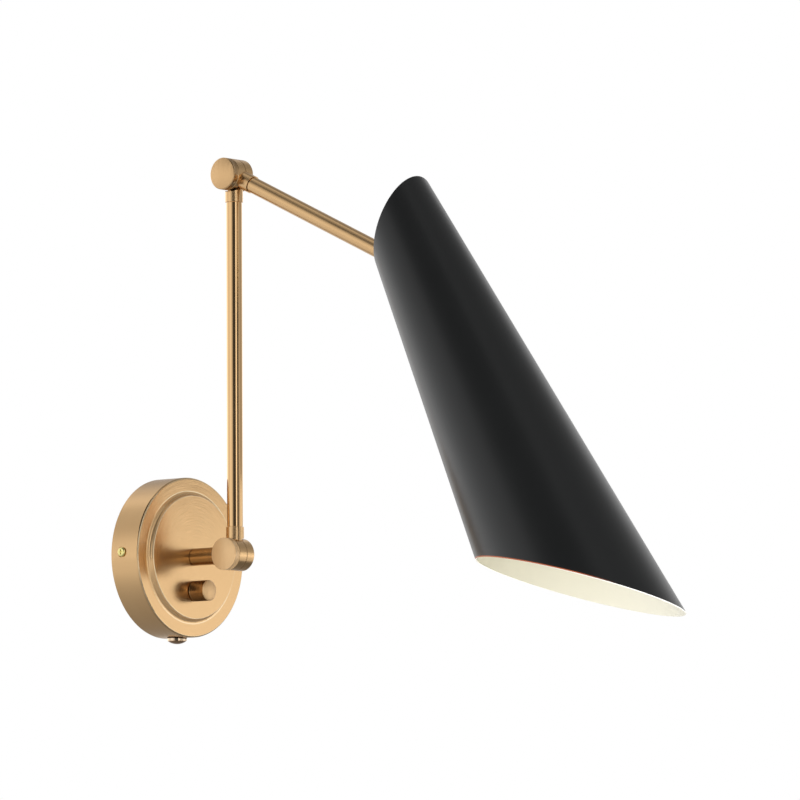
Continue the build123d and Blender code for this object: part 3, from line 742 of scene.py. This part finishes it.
class LAMP_OT_brass(bpy.types.Operator):
    """Satin brass on the plate, post, swivels and arms, with the grain turned about each axis"""

    bl_idname = "lamp.brass"
    bl_label = "Brass Plate, Swivels and Arms"

    def execute(self, context):
        colours = context.scene.lamp_colours
        sizes = context.scene.lamp_sizes
        half_line = sizes.edge_line
        plate_face = WALL_AXIS.dot(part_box("post_tube")[1])

        # Painted highlights: thin light lines round the disc, the cove and the rim, on the plate's
        # front
        def edges(finish):
            place = polar(finish, PLATE_CENTRE, WALL_AXIS)
            lines = [(place.out > radius - half_line) * (place.out < radius + half_line)
                     for radius in (sizes.disc_edge, sizes.cove_edge, sizes.rim_edge)]
            return sum(lines) * (place.along > sizes.rim_height)

        def cove(finish):
            out = polar(finish, PLATE_CENTRE, WALL_AXIS).out
            return (out > sizes.disc_edge - half_line) * (out < sizes.cove_edge + half_line)

        # Painted shade: a dark line on the post where it meets the plate
        def joint(finish):
            return finish.dot(object_point(finish), WALL_AXIS) < plate_face + sizes.joint_line

        plate = turned_brass("brass_plate", PLATE_CENTRE, WALL_AXIS, PLATE_BRUSH,
                             marks=[(edges, colours.brass_edge)],
                             lacquer=COVE_LACQUER, lacquer_on=cove)
        post = turned_brass("brass_post", PLATE_CENTRE, WALL_AXIS, POST_BRUSH,
                            marks=[(joint, colours.brass_groove)])
        lower = turned_brass("brass_lower_tube", LOWER_HINGE, UP, LOWER_TUBE_BRUSH)
        upper = turned_brass("brass_upper_tube", ELBOW_HINGE, ARM_AXIS, UPPER_TUBE_BRUSH)
        elbow = turned_brass("brass_shade_elbow", PIVOT, ARM_AXIS, PLATE_BRUSH)
        for node, material in (("canopy_shell", plate), ("post_tube", post),
                               ("lower_arm_tube", lower), ("upper_arm_tube", upper),
                               ("arm_end_bush", upper), ("shade_elbow", elbow)):
            dress(node, material)
        for node, hinge, tube_axis in (("lower_swivel_post_half", LOWER_HINGE, WALL_AXIS),
                                       ("lower_swivel_arm_half", LOWER_HINGE, UP),
                                       ("elbow_swivel_lower_half", ELBOW_HINGE, UP),
                                       ("elbow_swivel_upper_half", ELBOW_HINGE, ARM_AXIS)):
            dress(node, swivel_brass("brass_" + node, hinge, tube_axis))
        return {"FINISHED"}


class LAMP_OT_clamp_screws(bpy.types.Operator):
    """Clamp screws of both swivels: a broad cap with a knurl, a chamfered face and a stud"""

    bl_idname = "lamp.clamp_screws"
    bl_label = "Clamp Screws"

    def execute(self, context):
        sizes = context.scene.lamp_sizes
        colours = context.scene.lamp_colours
        radius, height, edge = sizes.cap_radius, sizes.cap_height, sizes.cap_edge
        stud = [(-sizes.stud_reach, sizes.stud_radius * POINT_SHARE),
                (STUD_CHAMFER - sizes.stud_reach, sizes.stud_radius),
                (0, sizes.stud_radius)]
        cap, band = knurled_piece("clamp_cap", sizes.cap_teeth, stud, radius, height,
                                  sizes.cap_lip, edge, CAP_ROLL)
        for node, body, hinge, tarnish, lacquer in (
                ("lower_thumbscrew", "lower_clamp", LOWER_HINGE,
                 LOWER_CAP_GROOVE_SHADE, LOWER_CAP_LACQUER),
                ("elbow_thumbscrew", "elbow_clamp", ELBOW_HINGE, UPPER_CAP_GROOVE_SHADE, BARE)):
            screw = copy_of(cap, body + "_screw")
            base = hinge + LEFT * sizes.cap_base
            settle(screw, stood_along(base, LEFT), smooth=35)
            # Light tone on the caps' knurl band: a painted highlight
            side = knurled_brass("brass_" + body, base, LEFT, radius, band, colours.brass_light,
                                 tarnish, lacquer)
            face = straight_brass("brass_" + body + "_face", UP, -WALL_AXIS, lacquer)
            stand_for(screw, node, body, "satin_brass", side, face)
            paint_front(screw, base, LEFT, height - edge)
        bpy.data.objects.remove(cap)
        return {"FINISHED"}


class LAMP_OT_dimmer_knob(bpy.types.Operator):
    """Dimmer knob: straight knurl, chamfered face and a recess over the nut"""

    bl_idname = "lamp.dimmer_knob"
    bl_label = "Dimmer Knob"

    def execute(self, context):
        sizes = context.scene.lamp_sizes
        colours = context.scene.lamp_colours
        radius, height, edge = sizes.knob_radius, sizes.knob_length, sizes.knob_edge
        recess_radius = sizes.knob_recess_radius
        recess = [(sizes.knob_recess_depth, recess_radius), (0, recess_radius)]
        knob, band = knurled_piece("dimmer_knob_turned", sizes.knob_teeth, recess, radius, height,
                                   sizes.knob_lip, edge, KNOB_ROLL)
        base = DIMMER_FACE + WALL_AXIS * sizes.knob_gap
        settle(knob, stood_along(base, WALL_AXIS), smooth=35)
        # Dark tone on the knob's knurl band: painted shade
        side = knurled_brass("brass_knob", base, WALL_AXIS, radius, band, colours.brass_dark,
                             KNOB_GROOVE_SHADE, BARE)
        face = straight_brass("brass_knob_face", UP, RIGHT, KNOB_FACE_LACQUER)
        stand_for(knob, "dimmer_knob", "dimmer", "satin_brass", side, face)
        paint_front(knob, base, WALL_AXIS, height - edge)
        return {"FINISHED"}


class LAMP_OT_screws(bpy.types.Operator):
    """Side screws and earth screw: pan heads with a tapered cross recess"""

    bl_idname = "lamp.screws"
    bl_label = "Side and Earth Screws"

    def cutter(self, sizes):
        """Tapered cross that cuts the recess."""
        arms = []
        for turn in (0, 90):
            deselect()
            bpy.ops.mesh.primitive_cube_add(size=1)
            arm = bpy.context.object
            arm.scale = (sizes.recess_length, sizes.recess_width, sizes.recess_depth + CUT_PAST)
            arm.rotation_euler = (0, 0, radians(turn))
            arm.location = (0, 0, sizes.screw_head_height + CUT_PAST - arm.scale.z / 2)
            bpy.ops.object.transform_apply(location=True, rotation=True, scale=True)
            edit(arm, "FACE")
            pick(arm, "faces", lambda face: round(face.normal.z) == -1)
            bpy.ops.transform.resize(value=(RECESS_TAPER, RECESS_TAPER, 1),
                                     center_override=(0, 0, 0))
            bpy.ops.object.mode_set(mode="OBJECT")
            arms.append(arm)
        combine(arms[0], "UNION", arms[1])
        bpy.data.objects.remove(arms[1])
        return arms[0]

    def execute(self, context):
        sizes = context.scene.lamp_sizes
        colours = context.scene.lamp_colours
        radius, height = sizes.screw_head_radius, sizes.screw_head_height
        round_off, shank_radius = sizes.screw_round_off, sizes.screw_shank_radius
        quarter_turn = [radians(degrees) for degrees in range(0, 91, 15)]
        dome = [(height - round_off * (1 - sin(turn)), radius - round_off * (1 - cos(turn)))
                for turn in quarter_turn]
        bright = polished_finish("polished_brass_screw", colours.bright_brass, roughness=0.10)
        zinc = zinc_finish("zinc_earth_screw", colours.steel)
        cross = self.cutter(sizes)
        for node, axis, shank, material, slot in (
                ("side_screw_left", LEFT, sizes.side_screw_shank, bright, "bright_brass"),
                ("side_screw_right", RIGHT, sizes.side_screw_shank, bright, "bright_brass"),
                ("ground_screw", WALL_AXIS, sizes.earth_screw_shank, zinc, "zinc_steel")):
            low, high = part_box(node)
            middle = (low + high) / 2
            seat = max(axis.dot(low), axis.dot(high)) - height
            screw = build_up(node + "_turned", sides=48, rings=[
                (-shank, shank_radius * POINT_SHARE), (SHANK_CHAMFER - shank, shank_radius),
                (0, shank_radius), (0, radius - HEAD_CHAMFER), (HEAD_CHAMFER, radius), *dome])
            combine(screw, "DIFFERENCE", cross)
            settle(screw, stood_along(middle + axis * (seat - axis.dot(middle)), axis), smooth=30)
            stand_for(screw, node, "wall_plate", slot, material)
        bpy.data.objects.remove(cross)
        return {"FINISHED"}


class LAMP_OT_nuts(bpy.types.Operator):
    """Hexagon nuts of the post, dimmer and inlet: turned-off corners and a countersunk bore"""

    bl_idname = "lamp.nuts"
    bl_label = "Nuts"

    def execute(self, context):
        sizes = context.scene.lamp_sizes
        zinc = zinc_finish("zinc_nut", context.scene.lamp_colours.steel)
        sink = sizes.nut_sink
        for node, axis, across, bore in (("post_lock_nut", WALL_AXIS, UP, sizes.nut_bore),
                                         ("dimmer_nut", WALL_AXIS, UP, sizes.dimmer_nut_bore),
                                         ("cord_inlet_nut", UP, LEFT, sizes.nut_bore)):
            low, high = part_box(node)
            span = high - low
            ways = (axis, across, axis.cross(across))
            height, first, second = (abs(span.dot(way)) for way in ways)
            corner, flat = max(first, second) / 2, min(first, second) / 2
            half = height / 2
            deselect()
            bpy.ops.mesh.primitive_cylinder_add(vertices=6, radius=corner, depth=height)
            nut = bpy.context.object
            nut.name = nut.data.name = node + "_turned"
            face = NUT_FACE_SHARE * flat
            drop = (corner - face) * tan(NUT_CORNER_SLOPE)
            barrel = build_up("nut_barrel", sides=96, rings=[
                (-half, face), (drop - half, corner + BARREL_PAST),
                (half - drop, corner + BARREL_PAST), (half, face)])
            drill = build_up("nut_drill", sides=64, rings=[
                (-half - sink, bore + 2 * sink), (sink - half, bore),
                (half - sink, bore), (half + sink, bore + 2 * sink)])
            for operation, tool in (("INTERSECT", barrel), ("DIFFERENCE", drill)):
                combine(nut, operation, tool)
                bpy.data.objects.remove(tool)
            pointing = across if first > second else axis.cross(across)
            turn = Matrix((axis.cross(pointing), -pointing, axis)).transposed()
            settle(nut, Matrix.Translation((low + high) / 2) @ turn.to_4x4(), smooth=20)
            stand_for(nut, node, "wall_plate", "zinc_steel", zinc)
        return {"FINISHED"}


class LAMP_OT_shade(bpy.types.Operator):
    """Cone shade cut on the slant at both ends, black outside and cream inside"""

    bl_idname = "lamp.shade"
    bl_label = "Cone Shade"

    def execute(self, context):
        sizes = context.scene.lamp_sizes
        colours = context.scene.lamp_colours
        top_r, bottom_r = sizes.shade_top_radius, sizes.shade_bottom_radius
        run = sizes.shade_length
        slope = (bottom_r - top_r) / run
        first = -sizes.pivot_below_top
        last = first + run
        start = first - 2 * top_r * tan(sizes.top_slant)
        end = last + 2 * bottom_r * tan(sizes.bottom_slant)
        deselect()
        bpy.ops.mesh.primitive_cone_add(
            vertices=sizes.shade_sides, depth=end - start, end_fill_type="NOTHING",
            radius1=top_r + slope * (start - first), radius2=top_r + slope * (end - first),
            location=(0, 0, (start + end) / 2))
        cone = bpy.context.object
        cone.name = cone.data.name = "shade_cone"
        bpy.ops.object.transform_apply(location=True)
        edit(cone, "FACE")
        for height, slant, keep_above in ((first, -sizes.top_slant, True),
                                          (last, sizes.bottom_slant, False)):
            bpy.ops.mesh.select_all(action="SELECT")
            bpy.ops.mesh.bisect(plane_co=(0, 0, height), plane_no=(0, -sin(slant), cos(slant)),
                                clear_inner=keep_above, clear_outer=not keep_above)
        close_edit()
        turn = SHADE_TURN @ Matrix((RIGHT, ARM_AXIS.cross(RIGHT), ARM_AXIS)).transposed()
        seat = Matrix.Translation(PIVOT) @ (turn @ Matrix.Rotation(SHADE_BEND, 3, "X")).to_4x4()
        mouth = seat @ Vector((0, 0, last))
        outwards = seat.to_3x3() @ Vector((0, -sin(sizes.bottom_slant), cos(sizes.bottom_slant)))
        to_tip = seat.to_3x3() @ Vector((0, 1, 0))

        # Reddish line along the black paint's edge at the mouth, fading out towards the tip
        def reddish(finish):
            place = finish.vector("SUBTRACT", object_point(finish), mouth)
            from_tip = RED_LINE_REACH * bottom_r - finish.dot(place, to_tip)
            short_side = finish.clamp(from_tip * (RED_LINE_FADE / bottom_r))
            return (finish.dot(place, outwards) > -sizes.red_line_width) * short_side

        for material in (
                paint_finish("black_satin_paint", colours.black, roughness=0.36, spread=0.25,
                             marks=[(reddish, colours.rim)]),
                paint_finish("cream_paint", colours.cream, roughness=0.42, spread=0.05),
                paint_finish("paint_edge", colours.edge, roughness=0.5, spread=0.06)):
            cone.data.materials.append(material)
        modify(cone, "SOLIDIFY", thickness=sizes.shade_wall, offset=-1, use_even_offset=True,
               material_offset=1, material_offset_rim=2)
        settle(cone, seat, smooth=30)
        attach(cone, "shade")
        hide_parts("shade_shell")
        return {"FINISHED"}


class LAMP_OT_hidden_pieces(bpy.types.Operator):
    """Plated fixings behind the plate, cord inlet, insulators, lampholder and bulb"""

    bl_idname = "lamp.hidden_pieces"
    bl_label = "Fixings, Lampholder and Bulb"

    def execute(self, context):
        colours = context.scene.lamp_colours
        sizes = context.scene.lamp_sizes
        low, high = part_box("cord_inlet_bushing")
        plate_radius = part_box("canopy_shell")[1].x

        # Painted shadow: the inlet's ring is darkened next to the plate
        def crevice(finish):
            return polar(finish, PLATE_CENTRE, WALL_AXIS).out < plate_radius + sizes.crevice

        zinc = zinc_finish("zinc_plate", colours.steel)
        nipple = zinc_finish("zinc_nipple", colours.steel, (PLATE_CENTRE, WALL_AXIS))
        inlet = polished_finish("polished_bronze_inlet", colours.inlet, roughness=0.03,
                                thread=((low + high) / 2, UP), marks=[(crevice, colours.tarnish)])
        plug = polished_finish("polished_bronze_plug", colours.bronze, roughness=0.03)
        bright = polished_finish("polished_contact_brass", colours.bright_brass, roughness=0.18)
        plastic = moulded_finish("black_plastic", colours.plastic, roughness=0.45, spread=0.3,
                                 grain_scale=1800.0, grain_height=0.04 * MM)
        nylon = moulded_finish("nylon", colours.nylon, roughness=0.5, spread=0.12,
                               grain_scale=900.0, grain_height=0.03 * MM)
        insulator = moulded_finish("insulator", colours.insulator, roughness=0.28, spread=0.06,
                                   grain_scale=500.0, grain_height=0.02 * MM)
        aluminium = polished_finish("rolled_aluminium", colours.aluminium, roughness=0.22)
        glass = moulded_finish("frosted_glass", colours.glass, roughness=0.34, spread=0.04,
                               grain_scale=1500.0, grain_height=0.01 * MM)
        for material, slot, *nodes in (
                (zinc, "zinc_steel", "wall_bracket", "post_lock_washer", "dimmer_shaft",
                 "turn_grub_screw", "shade_spider"),
                (nipple, "zinc_steel", "post_nipple"),
                (inlet, "dark_bronze", "cord_inlet_bushing"),
                (plug, "dark_bronze", "cord_inlet_plug"),
                (bright, "bright_brass", "lampholder_shell", "lampholder_contact"),
                (plastic, "black_plastic", "dimmer_case", "lampholder_cap"),
                (nylon, "grey_nylon", "lower_friction_ring", "elbow_friction_ring", "turn_washer"),
                (insulator, "white_insulator", "lampholder_body"),
                (aluminium, "lamp_cap_metal", "bulb_cap"),
                (glass, "frosted_glass", "bulb_glass")):
            for node in nodes:
                dress(node, material)
        return {"FINISHED"}


class LAMP_OT_stage(bpy.types.Operator):
    """Pale floor, soft studio light and the camera"""

    bl_idname = "lamp.stage"
    bl_label = "Stage"

    def execute(self, context):
        scene = context.scene
        stage = scene.lamp_stage
        scene.view_settings.view_transform = "Standard"
        # Before these turns the camera looks along -X, with +Y at its right
        turn = (Matrix.Rotation(stage.azimuth, 3, "Z")
                @ Matrix.Rotation(-stage.elevation, 3, "Y")
                @ Matrix.Rotation(stage.roll, 3, "X"))
        back, right, up = turn.col
        self.lay_floor(scene)
        self.add_camera(scene, right, up, back)
        self.light_room(scene, right, back)
        for box in SOFT_BOXES:
            self.add_soft_box(scene, *box)
        return {"FINISHED"}

    def lay_floor(self, scene):
        """Pale floor that is dark where the brass would mirror it, and white in the distance."""
        colours = scene.lamp_colours
        stage = scene.lamp_stage
        deselect()
        bpy.ops.mesh.primitive_plane_add(
            size=stage.floor_size, location=(0, 0, stage.floor_height))
        floor = bpy.context.object
        floor.name = "floor"
        finish, material = new_finish("floor_paint")
        path = finish.node("LightPath")
        away = finish.length(finish.vector("SUBTRACT", object_point(finish), DARK_PATCH))
        dark = Value(finish, path.outputs["Is Glossy Ray"]) * finish.ramp(away, *DARK_PATCH_FADE)
        far = Value(finish, path.outputs["Is Camera Ray"]) * finish.ramp(away, *FAR_FLOOR)
        tint = finish.blend(dark, rgba(colours.floor), rgba(colours.mirrored_floor))
        finish.set(Base_Color=tint, Roughness=0.8)
        white = finish.node("Emission", None, {"Strength": 1.0})
        shaders = {0: far, 1: finish.shader.outputs[0], 2: white.outputs[0]}
        paint = finish.node("MixShader", None, shaders)
        finish.feed(finish.tree.nodes["Material Output"].inputs["Surface"], paint.outputs[0])
        floor.data.materials.append(material)

    def add_camera(self, scene, right, up, back):
        stage = scene.lamp_stage
        lens = bpy.data.cameras.new("camera")
        lens.lens = stage.lens
        camera = bpy.data.objects.new("camera", lens)
        camera.matrix_world = Matrix((right, up, back)).transposed().to_4x4()
        camera.location = (right * stage.aim_right + up * stage.aim_up
                           + back * stage.camera_distance)
        scene.collection.objects.link(camera)
        scene.camera = camera

    def light_room(self, scene, right, back):
        """Even light, and for mirrors a white room, darker by the camera, above and below."""
        world = bpy.data.worlds.new("studio")
        scene.world = world
        world.use_nodes = True
        sky = Finish(world.node_tree, world.node_tree.nodes["Background"])
        path = sky.node("LightPath")
        seen = Value(sky, path.outputs["Is Camera Ray"])
        mirrored = Value(sky, path.outputs["Is Glossy Ray"])
        through = Value(sky, path.outputs["Is Transmission Ray"])
        way = sky.node("TexCoord").outputs["Generated"]
        height = sky.dot(way, UP)
        to_right = sky.dot(way, Vector((right.x, right.y, 0)).normalized())
        to_camera = sky.dot(way, Vector((back.x, back.y, 0)).normalized())
        degrees = sky.math("ARCTAN2", to_right, to_camera) * (180 / pi)
        left_wall = sky.ramp(height, *LEFT_WALL)
        right_wall = sky.ramp(height, *RIGHT_WALL)
        walls = left_wall + sky.ramp(to_right, *WALL_TO_WALL) * (right_wall - left_wall)
        ceiling = sky.ramp(sky.dot(way, DARK_CEILING), *CEILING)
        glow = sky.ramp(to_camera, *BEHIND) * sky.ramp(height, *LOW_BAND)
        room = sky.ramp(degrees, *ROUND_ROOM) * ceiling * walls + glow
        plain = sky.math("MAXIMUM", seen, through)
        level = plain + (1 - plain) * (mirrored * room + (1 - mirrored) * scene.lamp_stage.sky)
        sky.set(Color=(1, 1, 1, 1), Strength=level)

    def add_soft_box(self, scene, name, side, place, target, mirrored):
        lamp = bpy.data.lights.new(name, "AREA")
        lamp.energy = getattr(scene.lamp_stage, name)
        lamp.shape = "SQUARE"
        lamp.size = side
        box = bpy.data.objects.new(name, lamp)
        box.location = place
        box.rotation_euler = (Vector(target) - Vector(place)).to_track_quat("-Z", "Y").to_euler()
        box.visible_glossy = mirrored
        scene.collection.objects.link(box)


class LAMP_PT_panel(bpy.types.Panel):
    """Lists the lamp's pieces and its sizes, colours and stage"""

    bl_idname = "LAMP_PT_panel"
    bl_label = "Swing Arm Wall Lamp"
    bl_space_type = "VIEW_3D"
    bl_region_type = "UI"
    bl_category = "Lamp"

    def draw(self, context):
        for operator in OPERATORS:
            self.layout.operator(operator.bl_idname)
        scene = context.scene
        for group in (scene.lamp_sizes, scene.lamp_colours, scene.lamp_stage):
            column = self.layout.column()
            for name in group.__annotations__:
                column.prop(group, name, text=name.replace("_", " ").capitalize())


OPERATORS = (LAMP_OT_stage, LAMP_OT_brass, LAMP_OT_clamp_screws, LAMP_OT_dimmer_knob,
             LAMP_OT_screws, LAMP_OT_nuts, LAMP_OT_shade, LAMP_OT_hidden_pieces)
CLASSES = (LampSizes, LampColours, LampStage, *OPERATORS, LAMP_PT_panel)


def register():
    for item in CLASSES:
        bpy.utils.register_class(item)
    bpy.types.Scene.lamp_sizes = PointerProperty(type=LampSizes)
    bpy.types.Scene.lamp_colours = PointerProperty(type=LampColours)
    bpy.types.Scene.lamp_stage = PointerProperty(type=LampStage)


def unregister():
    del bpy.types.Scene.lamp_sizes
    del bpy.types.Scene.lamp_colours
    del bpy.types.Scene.lamp_stage
    for item in reversed(CLASSES):
        bpy.utils.unregister_class(item)


def main():
    register()
    bpy.ops.lamp.stage()
    bpy.ops.lamp.brass()
    bpy.ops.lamp.clamp_screws()
    bpy.ops.lamp.dimmer_knob()
    bpy.ops.lamp.screws()
    bpy.ops.lamp.nuts()
    bpy.ops.lamp.shade()
    bpy.ops.lamp.hidden_pieces()


if __name__ == "__main__":
    main()
